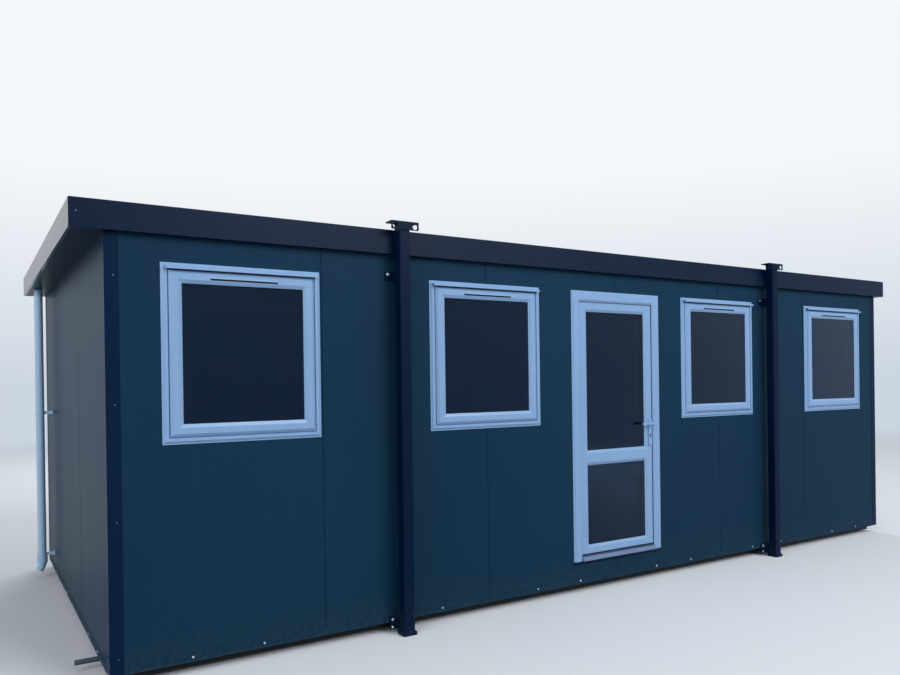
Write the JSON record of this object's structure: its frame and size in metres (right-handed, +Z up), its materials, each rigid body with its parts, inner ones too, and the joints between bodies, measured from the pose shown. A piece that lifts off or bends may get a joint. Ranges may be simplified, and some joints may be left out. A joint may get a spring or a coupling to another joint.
{
  "type": "portable site cabin",
  "caption": "Flat-roofed portable site cabin on four fixed jack legs, with white windows, a glazed door that opens inward, and a rainwater pipe.",
  "frame": {"origin": "on the ground under the middle of the whole cabin, roof and legs included", "axes": "+X along the long walls, the door's wall facing -Y, +Z up"},
  "size_m": [7.6, 3.669, 2.621],
  "materials": {
    "wall_panel": "satin painted",
    "flashing": "satin painted",
    "leg_steel": "painted",
    "chassis_steel": "painted",
    "membrane": "matt",
    "deck": "matt",
    "lining": "satin",
    "floor": "satin",
    "joinery": "satin",
    "glass": "clear",
    "metal": "satin",
    "hardware": "plated"
  },
  "bodies": {
    "cabin": {"front_panel_1": "wall_panel", "front_panel_2": "wall_panel", "front_panel_3": "wall_panel", "front_panel_4": "wall_panel", "front_panel_5": "wall_panel", "front_panel_6": "wall_panel", "door_head_panels": "wall_panel", "door_sill_panels": "wall_panel", "rear_wall_panels": "wall_panel", "left_wall_panels": "wall_panel", "right_wall_panels": "wall_panel", "corner_trims": "flashing", "base_trims": "flashing", "fascia_front": "flashing", "fascia_rear": "flashing", "fascia_left": "flashing", "fascia_right": "flashing", "soffit_panels": "flashing", "leg_posts": "leg_steel", "leg_feet": "leg_steel", "lifting_brackets": "leg_steel", "upper_leg_clamps": "leg_steel", "lower_leg_clamps": "leg_steel", "chassis_side_rails": "chassis_steel", "chassis_cross_members": "chassis_steel", "leg_outriggers": "chassis_steel", "roof_membrane": "membrane", "roof_deck": "deck", "ceiling": "lining", "floor_deck": "floor", "window_1_frame": "joinery", "window_1_sash": "joinery", "window_2_frame": "joinery", "window_2_sash": "joinery", "window_3_frame": "joinery", "window_3_sash": "joinery", "window_4_frame": "joinery", "window_4_sash": "joinery", "door_frame": "joinery", "downpipe": "joinery", "downpipe_clips": "joinery", "window_glass": "glass", "door_threshold": "metal", "door_hinge_frame_halves": "hardware"},
    "door": {"door_leaf": "joinery", "door_glass": "glass", "door_handle_plates": "hardware", "door_hinge_leaf_halves": "hardware"},
    "lever": {"door_levers": "hardware"}
  },
  "joints": [
    {"name": "door_hinge", "type": "hinge", "parent": "cabin", "child": "door", "pos_m": [-0.3495, -1.6285, 1.24], "axis": [0, 0, 1], "range_deg": [0, 95]},
    {"name": "door_lever_turn", "type": "hinge", "parent": "door", "child": "lever", "pos_m": [0.406, -1.6945, 1.249], "axis": [0, -1, 0], "range_deg": [0, 40], "stiffness_Nm_per_rad": 0.3, "springref_deg": -28.65}
  ]
}
